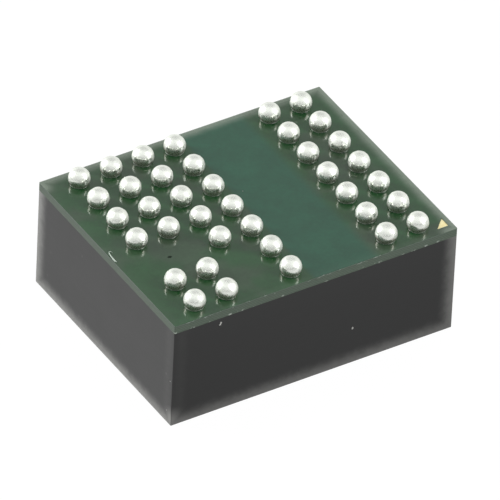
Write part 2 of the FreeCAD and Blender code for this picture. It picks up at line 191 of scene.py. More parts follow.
class Graph:
    """Adds nodes to one node tree and joins them in short calls."""

    def __init__(self, tree: bpy.types.NodeTree) -> None:
        """Start on a material's, world's or group's tree."""
        self.tree = tree

    @classmethod
    def of(cls, owner: Union[Material, bpy.types.World]) -> "Graph":
        """Start on a material or world without its default nodes.

        Args:
            owner: The material or world.

        Returns:
            Its graph.
        """
        owner.use_nodes = True
        owner.node_tree.nodes.clear()
        return cls(owner.node_tree)

    def node(self, kind: str, **settings: Any) -> bpy.types.Node:
        """Add a node.

        Args:
            kind: Blender's name of the node type.
            **settings: Values of the node's own properties.

        Returns:
            The new node.
        """
        made = self.tree.nodes.new(kind)
        for name, value in settings.items():
            setattr(made, name, value)
        return made

    def feed(self, socket: Socket, value: Feed) -> None:
        """Link a socket into an input, or write a constant there.

        Args:
            socket: The input.
            value: An output socket or a constant.
        """
        if isinstance(value, bpy.types.NodeSocket):
            self.tree.links.new(value, socket)
            return
        if socket.type == "RGBA" and len(value) == 3:
            value = (*value, 1.0)
        socket.default_value = value

    def fill(self, node: bpy.types.Node, feeds: Dict[str, Feed]) -> bpy.types.Node:
        """Feed inputs of a node.

        Args:
            node: The node.
            feeds: What goes into its inputs, by their names.

        Returns:
            The node.
        """
        for name, value in feeds.items():
            self.feed(node.inputs[name], value)
        return node

    def compute(self, kind: str, operation: str, values: Sequence[Feed]) -> bpy.types.Node:
        """Add a node that works something out.

        Args:
            kind: Blender's name of the node type.
            operation: The node's operation.
            values: Its inputs, in their order.

        Returns:
            The new node.
        """
        made = self.node(kind, operation=operation)
        for socket, value in zip(made.inputs, values):
            self.feed(socket, value)
        return made

    def math(self, operation: str, *values: Feed) -> Socket:
        """Return the result of a Math node."""
        return self.compute("ShaderNodeMath", operation, values).outputs[0]

    def vector(self, operation: str, *values: Feed) -> Socket:
        """Return the vector result of a Vector Math node."""
        return self.compute("ShaderNodeVectorMath", operation, values).outputs[0]

    def scale(self, vector: Feed, factor: Feed) -> Socket:
        """Scale a vector or colour.

        Args:
            vector: The vector or colour.
            factor: A number.

        Returns:
            Their product.
        """
        made = self.compute("ShaderNodeVectorMath", "SCALE", (vector,))
        self.feed(made.inputs["Scale"], factor)
        return made.outputs[0]

    def along(self, vector: Feed, direction: Vector) -> Socket:
        """Return how far a vector reaches along a direction."""
        product = self.compute("ShaderNodeVectorMath", "DOT_PRODUCT", (vector, tuple(direction)))
        return product.outputs["Value"]

    def times(self, first: Feed, *others: Feed) -> Socket:
        """Multiply values.

        Args:
            first: A value.
            *others: One or more others.

        Returns:
            Their product.
        """
        for other in others:
            first = self.math("MULTIPLY", first, other)
        return first

    def most(self, first: Feed, *others: Feed) -> Socket:
        """Compare values.

        Args:
            first: A value.
            *others: One or more others.

        Returns:
            The largest of them.
        """
        for other in others:
            first = self.math("MAXIMUM", first, other)
        return first

    def line(self, value: Feed, slope: Feed, base: Feed) -> Socket:
        """Return a value times a slope, plus a base."""
        return self.math("MULTIPLY_ADD", value, slope, base)

    def span(self, factor: Feed, low: float, high: float) -> Socket:
        """Return a value that goes from low to high as the factor goes from 0 to 1."""
        return self.line(factor, high - low, low)

    def smooth(self, value: Feed, low: float, high: float) -> Socket:
        """Step a value smoothly.

        Args:
            value: What is read.
            low: Where the step starts.
            high: Where it ends; below low, the step falls.

        Returns:
            0 at low and 1 at high.
        """
        made = self.node("ShaderNodeMapRange", interpolation_type="SMOOTHSTEP")
        if low <= high:
            settings = (value, low, high, 0.0, 1.0)
        else:
            settings = (value, high, low, 1.0, 0.0)
        for socket, setting in zip(made.inputs, settings):
            self.feed(socket, setting)
        return made.outputs[0]

    def noise(self, vector: Feed, cloud: Cloud) -> Socket:
        """Read a noise.

        Args:
            vector: Where it is read.
            cloud: The noise.

        Returns:
            Its value.
        """
        feeds = {
            "Vector": vector,
            "Scale": cloud.scale,
            "Detail": cloud.detail,
            "Roughness": cloud.rough,
        }
        return self.fill(self.node("ShaderNodeTexNoise"), feeds).outputs[0]

    def mask(self, vector: Feed, cloud: Cloud) -> Socket:
        """Return the mask that a noise gives at a vector."""
        return self.smooth(self.noise(vector, cloud), cloud.low, cloud.high)

    def cells(self, vector: Feed, scale: Feed) -> Outputs:
        """Return the outputs of a cell pattern with so many cells per unit of the vector."""
        feeds = {"Vector": vector, "Scale": scale}
        return self.fill(self.node("ShaderNodeTexVoronoi"), feeds).outputs

    def blend(self, factor: Feed, first: Feed, second: Feed) -> Socket:
        """Mix two colours.

        Args:
            factor: 0 gives the first and 1 the second.
            first: A colour.
            second: A colour.

        Returns:
            The mix.
        """
        made = self.node("ShaderNodeMix", data_type="RGBA")
        self.feed(made.inputs[0], factor)
        self.feed(made.inputs[MIX_FIRST], first)
        self.feed(made.inputs[MIX_SECOND], second)
        return made.outputs[MIX_RESULT]

    def split(self, vector: Feed) -> Tuple[Socket, Socket, Socket]:
        """Split a vector.

        Args:
            vector: The vector.

        Returns:
            Its three components.
        """
        made = self.node("ShaderNodeSeparateXYZ")
        self.feed(made.inputs[0], vector)
        return made.outputs[0], made.outputs[1], made.outputs[2]

    def bump(self, height: Socket, microns: float, below: Socket | None = None) -> Socket:
        """Show a relief.

        Args:
            height: The relief, from 0 to 1.
            microns: How high 1 stands.
            below: The normal of a coarser relief under it.

        Returns:
            The normal.
        """
        feeds: Dict[str, Feed] = {"Strength": 1.0, "Distance": microns * MICRON, "Height": height}
        if below is not None:
            feeds["Normal"] = below
        return self.fill(self.node("ShaderNodeBump"), feeds).outputs[0]

    def effect(self, kind: "type[Effect]", **feeds: Feed) -> Outputs:
        """Place a shared effect.

        Args:
            kind: The effect's class.
            **feeds: Inputs by name, with an underscore for each space.

        Returns:
            Its outputs.
        """
        made = self.node("ShaderNodeGroup")
        made.node_tree = kind.tree()
        self.fill(made, {name.replace("_", " "): value for name, value in feeds.items()})
        return made.outputs


class Effect:
    """A shader node group that several finishes share, built once on its first use.

    Its outputs are numbers, and so are its inputs, but for those without a default: vectors.
    """

    title: ClassVar[str]
    inputs: ClassVar[Dict[str, Union[float, None]]]
    outputs: ClassVar[Tuple[str, ...]] = ("Mask",)

    @classmethod
    def tree(cls) -> bpy.types.NodeTree:
        """Build the group on the first call, and find it on later ones.

        Returns:
            The group's node tree.
        """
        found = bpy.data.node_groups.get(cls.title)
        if found is not None:
            return found
        made = bpy.data.node_groups.new(cls.title, "ShaderNodeTree")
        for name, value in cls.inputs.items():
            kind = "NodeSocketVector" if value is None else "NodeSocketFloat"
            socket = made.interface.new_socket(name=name, in_out="INPUT", socket_type=kind)
            if value is not None:
                socket.default_value = value
        for name in cls.outputs:
            made.interface.new_socket(name=name, in_out="OUTPUT", socket_type="NodeSocketFloat")
        graph = Graph(made)
        given = graph.node("NodeGroupInput").outputs
        graph.fill(graph.node("NodeGroupOutput"), cls.wire(graph, given))
        return made

    @classmethod
    def wire(cls, graph: Graph, given: Any) -> Dict[str, Socket]:
        """Build the inside.

        Args:
            graph: The group's graph.
            given: The group's inputs.

        Returns:
            Each output's source by name.
        """
        raise NotImplementedError


class FillerGrain(Effect):
    """Fine mineral grain of a moulded or fired body: a tone and a relief."""

    title = "Filler Grain"
    inputs = {"Vector": None, "Grains": 20.0}
    outputs = ("Tone", "Height")
    cloud_edge: ClassVar[Step] = (0.3, 0.7)
    grain_edge: ClassVar[Step] = (0.55, 0.15)
    grain_tone: ClassVar[float] = 0.35
    grain_height: ClassVar[float] = 0.4

    @classmethod
    def wire(cls, graph: Graph, given: Any) -> Dict[str, Socket]:
        """Mix a cloudy noise with round grains.

        Args:
            graph: The group's graph.
            given: The group's inputs.

        Returns:
            Each output's source by name.
        """
        cloud = graph.noise(given["Vector"], Cloud(given["Grains"], 3.0, 0.6))
        distance = graph.cells(given["Vector"], given["Grains"])["Distance"]
        grain = graph.smooth(distance, *cls.grain_edge)
        tone = graph.line(grain, cls.grain_tone, graph.smooth(cloud, *cls.cloud_edge))
        return {
            "Tone": graph.math("DIVIDE", tone, 1.0 + cls.grain_tone),
            "Height": graph.line(grain, cls.grain_height, cloud),
        }


class SawLines(Effect):
    """Fine lines that a dicing blade leaves along a cut side."""

    title = "Saw Lines"
    inputs = {"Vector": None, "Lines": 18.0}
    outputs = ("Tone", "Height")
    length_scale: ClassVar[float] = 0.35
    tone_edge: ClassVar[Step] = (0.35, 0.68)

    @classmethod
    def wire(cls, graph: Graph, given: Any) -> Dict[str, Socket]:
        """Stretch a noise along the cut, so that it changes mostly with height.

        Args:
            graph: The group's graph.
            given: The group's inputs.

        Returns:
            Each output's source by name.
        """
        x, y, z = graph.split(given["Vector"])
        stretched = graph.node("ShaderNodeCombineXYZ")
        graph.feed(stretched.inputs[0], graph.times(x, cls.length_scale))
        graph.feed(stretched.inputs[1], graph.times(y, cls.length_scale))
        graph.feed(stretched.inputs[2], graph.times(z, given["Lines"]))
        fine = graph.noise(stretched.outputs[0], Cloud(1.0, 3.0, 0.65))
        return {"Tone": graph.smooth(fine, *cls.tone_edge), "Height": fine}


class PaintedEdgeGlow(Effect):
    """Band along the edges of a box, where a pale glow is painted: 1 on the edge, 0 away from it."""

    title = "Painted Edge Glow"
    inputs = {"Vector": None, "Centre": None, "Half Size": None, "Width": 0.2, "Ragged": 0.3}
    rag: ClassVar[Cloud] = Cloud(3.0, 4.0, 0.6)
    rag_middle: ClassVar[float] = 0.5
    falloff: ClassVar[float] = 1.6

    @classmethod
    def wire(cls, graph: Graph, given: Any) -> Dict[str, Socket]:
        """Take the second smallest distance to a side as the distance to an edge.

        Args:
            graph: The group's graph.
            given: The group's inputs.

        Returns:
            Each output's source by name.
        """
        offset = graph.vector("SUBTRACT", given["Vector"], given["Centre"])
        inside = graph.vector("SUBTRACT", given["Half Size"], graph.vector("ABSOLUTE", offset))
        a, b, c = graph.split(inside)
        low = graph.math("MINIMUM", a, b)
        high = graph.most(a, b)
        to_edge = graph.most(low, graph.math("MINIMUM", high, c))
        rag = graph.math("SUBTRACT", graph.noise(given["Vector"], cls.rag), cls.rag_middle)
        share = graph.math("DIVIDE", to_edge, given["Width"])
        worn = graph.line(rag, given["Ragged"], share)
        return {"Mask": graph.math("POWER", graph.smooth(worn, 1.0, 0.0), cls.falloff)}


class LooseDust(Effect):
    """Scattered specks of dust: 1 on a speck, 0 between them."""

    title = "Loose Dust"
    inputs = {"Vector": None, "Specks": 4.0, "Share": 0.1}
    speck_edge: ClassVar[Step] = (0.11, 0.04)

    @classmethod
    def wire(cls, graph: Graph, given: Any) -> Dict[str, Socket]:
        """Keep the middles of a few cells of a cell pattern.

        Args:
            graph: The group's graph.
            given: The group's inputs.

        Returns:
            Each output's source by name.
        """
        cells = graph.cells(given["Vector"], given["Specks"])
        spot = graph.smooth(cells["Distance"], *cls.speck_edge)
        draw = graph.split(cells["Color"])[0]
        return {"Mask": graph.times(spot, graph.math("LESS_THAN", draw, given["Share"]))}


class FoilPlate(Effect):
    """Distance, in plan, to a rectangle of copper foil: below 0 over the foil."""

    title = "Foil Plate"
    inputs = {"Vector": None, "Centre": None, "Half Size": None}
    outputs = ("Distance",)

    @classmethod
    def wire(cls, graph: Graph, given: Any) -> Dict[str, Socket]:
        """Take the larger of the distances along X and Y.

        Args:
            graph: The group's graph.
            given: The group's inputs.

        Returns:
            Each output's source by name.
        """
        offset = graph.vector("SUBTRACT", given["Vector"], given["Centre"])
        outside = graph.vector("SUBTRACT", graph.vector("ABSOLUTE", offset), given["Half Size"])
        x, y, _z = graph.split(outside)
        return {"Distance": graph.most(x, y)}


class SurfaceFinish:
    """A finish of one material, whose shader inputs each kind of finish works out."""

    title: str

    def material(self) -> Material:
        """Build the finish, which reads Object coordinates in millimetres.

        Returns:
            The material.
        """
        made = bpy.data.materials.new(self.title)
        graph = Graph.of(made)
        shader = graph.node("ShaderNodeBsdfPrincipled")
        output = graph.node("ShaderNodeOutputMaterial")
        graph.feed(output.inputs["Surface"], shader.outputs[0])
        place = graph.node("ShaderNodeTexCoord").outputs["Object"]
        graph.fill(shader, self.inputs(graph, graph.scale(place, 1.0 / MM)))
        return made

    def inputs(self, graph: Graph, place: Socket) -> Dict[str, Feed]:
        """Work out what feeds the shader.

        Args:
            graph: The material's graph.
            place: Object coordinates in millimetres.

        Returns:
            The shader's inputs by name.
        """
        raise NotImplementedError


@dataclass(frozen=True)
class GrainFinish(SurfaceFinish):
    """A solid body with a fine grain: moulded, fired, sintered, drawn or plated."""

    title: str
    dark: Colour
    light: Colour
    roughness: Step = (0.35, 0.5)
    grains: float = 20.0
    relief: float = 0.6
    metallic: float = 0.0
    specular: float = 0.5
    ior: float = 1.5

    def inputs(self, graph: Graph, place: Socket) -> Dict[str, Feed]:
        """Vary tone, gloss and relief with the grain.

        Args:
            graph: The material's graph.
            place: Object coordinates in millimetres.

        Returns:
            The shader's inputs by name.
        """
        grain = graph.effect(FillerGrain, Vector=place, Grains=self.grains)
        return {
            "Base Color": graph.blend(grain["Tone"], self.dark, self.light),
            "Roughness": graph.span(grain["Tone"], *self.roughness),
            "Normal": graph.bump(grain["Height"], self.relief),
            "Metallic": self.metallic,
            "Specular IOR Level": self.specular,
            "IOR": self.ior,
        }


@dataclass(frozen=True)
class ChipFinish(SurfaceFinish):
    """A ceramic chip part: a fired body between two plated ends."""

    title: str
    body: GrainFinish
    plating: Colour
    centre: Point
    half_length: float
    along_y: bool
    termination: float = 0.35
    edge_blur: float = 0.01

    def inputs(self, graph: Graph, place: Socket) -> Dict[str, Feed]:
        """Plate whatever is close to either end.

        Args:
            graph: The material's graph.
            place: Object coordinates in millimetres.

        Returns:
            The shader's inputs by name.
        """
        grain = graph.effect(FillerGrain, Vector=place, Grains=self.body.grains)
        axis = 1 if self.along_y else 0
        along = graph.split(place)[axis]
        offset = graph.math("ABSOLUTE", graph.math("SUBTRACT", along, self.centre[axis]))
        edge = self.half_length - self.termination
        end = graph.smooth(offset, edge - self.edge_blur, edge + self.edge_blur)
        fired = graph.blend(grain["Tone"], self.body.dark, self.body.light)
        return {
            "Base Color": graph.blend(end, fired, self.plating),
            "Metallic": end,
            "Roughness": graph.span(grain["Tone"], *self.body.roughness),
            "Normal": graph.bump(grain["Height"], self.body.relief),
        }


@dataclass(frozen=True)
class MouldFinish(SurfaceFinish):
    """Black filled epoxy, sawn on its sides, with a pale glow painted along its outer edges."""

    title: str = "mould_compound"
    dark: Colour = (0.0030, 0.0032, 0.0032)
    light: Colour = (0.0060, 0.0062, 0.0058)
    grains: float = 26.0
    saw_lines: float = 14.0
    saw_share: float = 0.35
    # Pale glow painted along the outer edges, where light bleeds round the outline: its colour, band width,
    # raggedness and share; kept low down at the near upright corner and weaker on the -Y side
    edge_glow: Colour = (0.46, 0.46, 0.44)
    edge_glow_width: float = 0.72
    edge_glow_ragged: float = 0.35
    edge_glow_share: float = 0.62
    sharp_corner: Step = (-HALF_LENGTH - HALF_WIDTH, -8.6)
    low_band: Step = (0.9, 0.2)
    long_side: Step = (0.03 - HALF_WIDTH, 0.003 - HALF_WIDTH)
    long_side_glow: float = 0.55
    dust: Colour = (0.30, 0.30, 0.28)
    dust_specks: float = 1.6
    dusty_cells: float = 0.10
    dust_share: float = 0.12
    cloud: Cloud = Cloud(0.7, 3.0, 0.55)
    cloud_dulls: float = 0.06
    roughness: Step = (0.33, 0.39)
    saw_relief: float = 0.5
    grain_relief: float = 0.7

    def glowing_edges(self, graph: Graph, place: Socket) -> Socket:
        """Mask the pale glow painted along the outer edges.

        Args:
            graph: The material's graph.
            place: Object coordinates in millimetres.

        Returns:
            The mask: weaker on the -Y side, and at the near corner only low down.
        """
        edge_glow = graph.effect(
            PaintedEdgeGlow,
            Vector=place,
            Centre=(0.0, 0.0, TOP),
            Half_Size=PACKAGE,
            Width=self.edge_glow_width,
            Ragged=self.edge_glow_ragged,
        )["Mask"]
        x, y, z = graph.split(place)
        away = graph.smooth(graph.math("ADD", x, y), *self.sharp_corner)
        kept = graph.most(away, graph.smooth(z, *self.low_band))
        side = graph.span(graph.smooth(y, *self.long_side), 1.0, self.long_side_glow)
        return graph.times(edge_glow, kept, side)

    def inputs(self, graph: Graph, place: Socket) -> Dict[str, Feed]:
        """Lay the painted edge glow and the dust over grain and saw lines.

        Args:
            graph: The material's graph.
            place: Object coordinates in millimetres.

        Returns:
            The shader's inputs by name.
        """
        grain = graph.effect(FillerGrain, Vector=place, Grains=self.grains)
        saw = graph.effect(SawLines, Vector=place, Lines=self.saw_lines)
        grained = graph.times(grain["Tone"], 1.0 - self.saw_share)
        tone = graph.line(saw["Tone"], self.saw_share, grained)
        # Painted pale glow along the outer edges
        pale_glow = graph.times(self.glowing_edges(graph, place), self.edge_glow_share)
        pale = graph.blend(pale_glow, graph.blend(tone, self.dark, self.light), self.edge_glow)
        dust = graph.effect(LooseDust, Vector=place, Specks=self.dust_specks, Share=self.dusty_cells)
        rough = graph.span(tone, *self.roughness)
        relief = graph.bump(saw["Height"], self.saw_relief)
        return {
            "Base Color": graph.blend(graph.times(dust["Mask"], self.dust_share), pale, self.dust),
            "Roughness": graph.line(graph.noise(place, self.cloud), self.cloud_dulls, rough),
            "Normal": graph.bump(grain["Height"], self.grain_relief, relief),
            "Specular IOR Level": 0.5,
            "IOR": 1.5,
        }


@dataclass(frozen=True)
class LaminateFinish(SurfaceFinish):
    """Sawn edge of glass-epoxy board: dark resin with pale plies of glass cloth."""

    title: str = "laminate"
    resin: Colour = (0.054, 0.082, 0.056)
    glass: Colour = (0.108, 0.148, 0.108)
    ply: float = 0.07
    ply_edge: Step = (-0.6, 0.8)
    ply_tones: Step = (0.5, 1.0)
    weave: float = 0.45
    weave_height: float = 0.008
    grains: float = 30.0
    saw_lines: float = 30.0
    saw_relief: float = 1.2
    roughness: Step = (0.42, 0.6)
    frayed: Colour = (0.40, 0.45, 0.40)
    frayed_band: Step = (BOARD_LOW + 0.075, BOARD_LOW + 0.03)
    frayed_side: Step = (-4.3, -4.4)
    tufts: Cloud = Cloud(4.2, 2.0, 0.6, 0.57, 0.66)

    def inputs(self, graph: Graph, place: Socket) -> Dict[str, Feed]:
        """Stack wavy plies, and fray the lower edge of the -Y side.

        Args:
            graph: The material's graph.
            place: Object coordinates in millimetres.

        Returns:
            The shader's inputs by name.
        """
        x, y, z = graph.split(place)
        wave = graph.math("SINE", graph.times(graph.math("ADD", x, y), 2.0 * math.pi / self.weave))
        height = graph.line(wave, self.weave_height, z)
        cycle = graph.math("SINE", graph.times(height, 2.0 * math.pi / self.ply))
        saw = graph.effect(SawLines, Vector=place, Lines=self.saw_lines)
        grain = graph.effect(FillerGrain, Vector=place, Grains=self.grains)
        mottled = graph.span(grain["Tone"], *self.ply_tones)
        plies = graph.times(graph.smooth(cycle, *self.ply_edge), mottled)
        foot = graph.times(graph.smooth(z, *self.frayed_band), graph.smooth(y, *self.frayed_side))
        torn = graph.times(graph.mask(place, self.tufts), foot)
        return {
            "Base Color": graph.blend(torn, graph.blend(plies, self.resin, self.glass), self.frayed),
            "Roughness": graph.span(grain["Tone"], *self.roughness),
            "Normal": graph.bump(saw["Height"], self.saw_relief),
            "Specular IOR Level": 0.5,
        }


@dataclass(frozen=True)
class ResistFinish(SurfaceFinish):
    """Glossy green solder resist: a warmer tone over copper foil and a bluer one over bare board."""

    title: str = "solder_resist"
    over_foil: Colour = (0.0130, 0.0635, 0.0190)
    over_board: Colour = (0.0085, 0.0715, 0.0380)
    greyed: Colour = (0.0330, 0.0620, 0.0340)
    greyed_share: float = 0.75
    cut: Colour = (0.080, 0.120, 0.085)
    cut_below: Step = (TOP - 0.001, TOP - 0.004)
    # Pale colour of the glow painted along the far edges, and of the dust
    sawn: Colour = (0.200, 0.245, 0.195)
    wide_bank: Step = (0.02, -0.22)
    narrow_bank: Step = (2.15, 2.65)
    plates: Tuple[Tuple[float, float, float, float], ...] = (
        (-2.455, -0.215, -4.23, 4.23),
        (-4.865, -0.215, -1.82, 4.23),
        (-4.865, -2.755, -4.23, -2.12),
        (2.755, 4.865, 0.85, 4.23),
        (2.755, 4.865, -4.23, 0.42),
    )
    beyond_plates: float = 10.0
    foil_edge: Step = (0.05, -0.05)
    foil_relief: float = 3.0
    patches: Cloud = Cloud(0.55, 2.0, 0.5, 0.46, 0.62)
    depth: Cloud = Cloud(0.9, 3.0, 0.6)
    depth_tones: Step = (0.88, 1.12)
    mottle: Cloud = Cloud(7.0, 3.0, 0.6)
    mottle_tones: Step = (0.94, 1.06)
    orange_peel: Cloud = Cloud(2.2, 2.0, 0.5)
    orange_peel_relief: float = 0.9
    # Pale glow painted along the far edges of the top, where light bleeds round the outline, with real dust:
    # band, far sides, strength and dust
    edge_glow_width: float = 0.52
    edge_glow_ragged: float = 0.25
    far_edge_y: Step = (3.7, 4.2)
    far_edge_x: Step = (4.8, 5.3)
    far_glow: Step = (0.04, 0.85)
    dust_specks: float = 1.3
    dusty_cells: float = 0.12
    dust_share: float = 0.25
    roughness: Step = (0.07, 0.13)
    rim_dulls: float = 0.30

    def foil(self, graph: Graph, place: Socket) -> Socket:
        """Mask the copper pours under the resist.

        Args:
            graph: The material's graph.
            place: Object coordinates in millimetres.

        Returns:
            1 over the pours and 0 beside them.
        """
        nearest: Feed = self.beyond_plates
        for low_x, high_x, low_y, high_y in self.plates:
            distance = graph.effect(
                FoilPlate,
                Vector=place,
                Centre=((low_x + high_x) / 2, (low_y + high_y) / 2, 0.0),
                Half_Size=((high_x - low_x) / 2, (high_y - low_y) / 2, 0.0),
            )["Distance"]
            nearest = graph.math("MINIMUM", nearest, distance)
        return graph.smooth(nearest, *self.foil_edge)

    def tone(self, graph: Graph, place: Socket, mottle: Socket) -> Socket:
        """Tone the green by bank, in patches and in depth.

        Args:
            graph: The material's graph.
            place: Object coordinates in millimetres.
            mottle: The noise of its fine mottle.

        Returns:
            The green.
        """
        x = graph.split(place)[0]
        bank = graph.most(graph.smooth(x, *self.wide_bank), graph.smooth(x, *self.narrow_bank))
        patch = graph.times(graph.mask(place, self.patches), self.greyed_share)
        green = graph.blend(bank, self.over_board, graph.blend(patch, self.over_foil, self.greyed))
        fine = graph.smooth(mottle, self.mottle.low, self.mottle.high)
        uneven = graph.times(
            graph.span(graph.mask(place, self.depth), *self.depth_tones),
            graph.span(fine, *self.mottle_tones),
        )
        return graph.scale(green, uneven)

    def rim(self, graph: Graph, place: Socket) -> Socket:
        """Mask the pale glow painted along the far edges, and the dust.

        Args:
            graph: The material's graph.
            place: Object coordinates in millimetres.

        Returns:
            The mask, which is strong along the far edges.
        """
        edge_glow = graph.effect(
            PaintedEdgeGlow,
            Vector=place,
            Centre=(0.0, 0.0, 0.0),
            Half_Size=PACKAGE,
            Width=self.edge_glow_width,
            Ragged=self.edge_glow_ragged,
        )["Mask"]
        x, y, _z = graph.split(place)
        far = graph.most(graph.smooth(y, *self.far_edge_y), graph.smooth(x, *self.far_edge_x))
        dust = graph.effect(LooseDust, Vector=place, Specks=self.dust_specks, Share=self.dusty_cells)
        far_glowed = graph.times(edge_glow, graph.span(far, *self.far_glow))
        return graph.most(far_glowed, graph.times(dust["Mask"], self.dust_share))

    def inputs(self, graph: Graph, place: Socket) -> Dict[str, Feed]:
        """Lay the painted edge glow and the dust over the green, and show the raw cut on the sides.

        Args:
            graph: The material's graph.
            place: Object coordinates in millimetres.

        Returns:
            The shader's inputs by name.
        """
        mottle = graph.noise(place, self.mottle)
        rim = self.rim(graph, place)
        side = graph.smooth(graph.split(place)[2], *self.cut_below)
        faced = graph.blend(rim, self.tone(graph, place, mottle), self.sawn)
        peel = graph.bump(graph.noise(place, self.orange_peel), self.orange_peel_relief)
        gloss = graph.span(mottle, *self.roughness)
        return {
            "Base Color": graph.blend(side, faced, self.cut),
            "Roughness": graph.line(graph.most(rim, side), self.rim_dulls, gloss),
            "Normal": graph.bump(self.foil(graph, place), self.foil_relief, peel),
            "Specular IOR Level": 0.5,
            "IOR": 1.53,
        }


@dataclass(frozen=True)
class SolderFinish(SurfaceFinish):
    """Bright tin alloy with a faint skin of dendrites, a few dull smears and a darker brown band low down.
    """

    title: str = "solder"
    bright: Colour = (0.745, 0.770, 0.715)
    dull: Colour = (0.50, 0.52, 0.48)
    dull_share: float = 0.5
    skin: Cloud = Cloud(9.0, 4.0, 0.65, 0.42, 0.62)
    skin_relief: float = 2.2
    frost: Cloud = Cloud(42.0, 3.0, 0.7, 0.40, 0.60)
    frost_relief: float = 0.20
    smear: Cloud = Cloud(3.6, 3.0, 0.6, 0.52, 0.72)
    pits: float = 5.5
    pitted_cells: float = 0.3
    pit_share: float = 0.8
    # Darker brown tone laid over the lower part of each ball, with a ragged upper edge
    film: Colour = (0.40, 0.355, 0.30)
    low_brown_share: float = 0.60
    low_brown_rag: Cloud = Cloud(5.0, 3.0, 0.6)
    low_brown_rag_depth: float = -0.34
    low_brown_edge: Step = (4.39, 4.31)
    low_brown_foot: Step = (4.33, 4.40)
    foot: Step = (4.34, 4.33)
    roughness: Step = (0.10, 0.46)
    dulled_roughness: float = 0.14
    limb: Step = (0.32, 0.56)
    limb_above: Step = (4.41, 4.53)
    limb_roughness: float = 0.30

    def browned_low(self, graph: Graph, place: Socket, height: Socket) -> Socket:
        """Mask the ragged darker brown band between the foot and the widest part.

        Args:
            graph: The material's graph.
            place: Object coordinates in millimetres.
            height: Their Z.

        Returns:
            The mask.
        """
        ragged = graph.line(graph.noise(place, self.low_brown_rag), self.low_brown_rag_depth, height)
        above_foot = graph.smooth(height, *self.low_brown_foot)
        return graph.times(graph.smooth(ragged, *self.low_brown_edge), above_foot, self.low_brown_share)

    def soft_limb(self, graph: Graph, height: Socket) -> Socket:
        """Mask the skin that the eye sees edge-on, where it looks rougher.

        Args:
            graph: The material's graph.
            height: Z in millimetres.

        Returns:
            The mask.
        """
        turned = graph.smooth(graph.node("ShaderNodeLayerWeight").outputs["Facing"], *self.limb)
        eye = graph.node("ShaderNodeLightPath").outputs["Is Camera Ray"]
        return graph.times(turned, graph.smooth(height, *self.limb_above), eye)

    def inputs(self, graph: Graph, place: Socket) -> Dict[str, Feed]:
        """Dull the bright skin in smears and pits, and brown its lower part.

        Args:
            graph: The material's graph.
            place: Object coordinates in millimetres.

        Returns:
            The shader's inputs by name.
        """
        height = graph.split(place)[2]
        skin = graph.noise(place, self.skin)
        crystals = graph.smooth(skin, self.skin.low, self.skin.high)
        pits = graph.effect(LooseDust, Vector=place, Specks=self.pits, Share=self.pitted_cells)
        smeared = graph.times(graph.mask(place, self.smear), crystals)
        dulled = graph.most(smeared, graph.times(pits["Mask"], self.pit_share))
        tin = graph.blend(graph.times(dulled, self.dull_share), self.bright, self.dull)
        frost = graph.mask(place, self.frost)
        frosted = graph.span(frost, *self.roughness)
        rough = graph.line(self.soft_limb(graph, height), self.limb_roughness, frosted)
        matt = graph.most(dulled, graph.smooth(height, *self.foot))
        relief = graph.bump(skin, self.skin_relief)
        return {
            "Base Color": graph.blend(self.browned_low(graph, place, height), tin, self.film),
            "Metallic": 1.0,
            "Roughness": graph.line(matt, self.dulled_roughness, rough),
            "Normal": graph.bump(frost, self.frost_relief, relief),
        }


class Finish(Enum):
    """The plain finishes: name, tones, roughness, grains, relief, metal and specular shares."""

    COPPER = GrainFinish("copper", (0.62, 0.26, 0.15), (0.78, 0.38, 0.23), (0.28, 0.4), 12.0, 0.5, 1.0)
    PLATED = GrainFinish("plated_copper", (0.95, 0.82, 0.42), (1.0, 0.92, 0.54), (0.3, 0.4), 9.0, 0.6, 0.4)
    SILICON = GrainFinish("silicon", (0.07, 0.075, 0.09), (0.10, 0.105, 0.125), (0.08, 0.14), 3.0, 0.05)
    ATTACH = GrainFinish("die_attach", (0.36, 0.35, 0.33), (0.52, 0.51, 0.48), (0.45, 0.6), 30.0, 1.0, 0.6)
    WIRE = GrainFinish("bond_wire", (0.82, 0.56, 0.22), (0.95, 0.70, 0.32), (0.18, 0.26), 20.0, 0.1, 1.0)
    FERRITE = GrainFinish("ferrite", (0.028, 0.028, 0.030), (0.062, 0.060, 0.060), (0.4, 0.62), 16.0, 2.0)
    FORMER = GrainFinish("former_plastic", (0.50, 0.44, 0.33), (0.60, 0.53, 0.41), (0.42, 0.52), 8.0, 0.5)
    ENAMEL = GrainFinish("enamelled_wire", (0.42, 0.13, 0.045), (0.60, 0.21, 0.075), (0.16, 0.26), 14.0, 0.4)
    INSULATED = GrainFinish("insulated_wire", (0.62, 0.46, 0.09), (0.78, 0.60, 0.14), (0.3, 0.4), 10.0, 0.5)
    DIODE = GrainFinish("diode_compound", (0.02, 0.02, 0.021), (0.038, 0.038, 0.038), (0.38, 0.5), 24.0, 1.0)
    CERAMIC = GrainFinish("ceramic", (0.34, 0.24, 0.15), (0.46, 0.34, 0.22), (0.35, 0.5), 24.0, 0.7)
    FILM = GrainFinish("film", (0.02, 0.02, 0.024), (0.04, 0.04, 0.045), (0.25, 0.4), 20.0, 0.5)
    # The burr's curl is real; its pale green-white tones are a painted highlight where it catches the light
    GLINTING_BURR = GrainFinish("resist_burr_painted_glint", (0.42, 0.52, 0.44), (0.70, 0.78, 0.70), (0.2, 0.35), 20.0)
    GLASS = GrainFinish("glass_ends", (0.42, 0.50, 0.44), (0.70, 0.76, 0.70), (0.25, 0.4), 30.0)
    DUST = GrainFinish("dust", (0.36, 0.36, 0.34), (0.60, 0.60, 0.57), (0.7, 0.9), 40.0)
    DARK_SPECK = GrainFinish(
        "dark_speck", (0.009, 0.016, 0.010), (0.018, 0.028, 0.020), (0.8, 0.95), 40.0, 1.0, 0.0, 0.1
    )


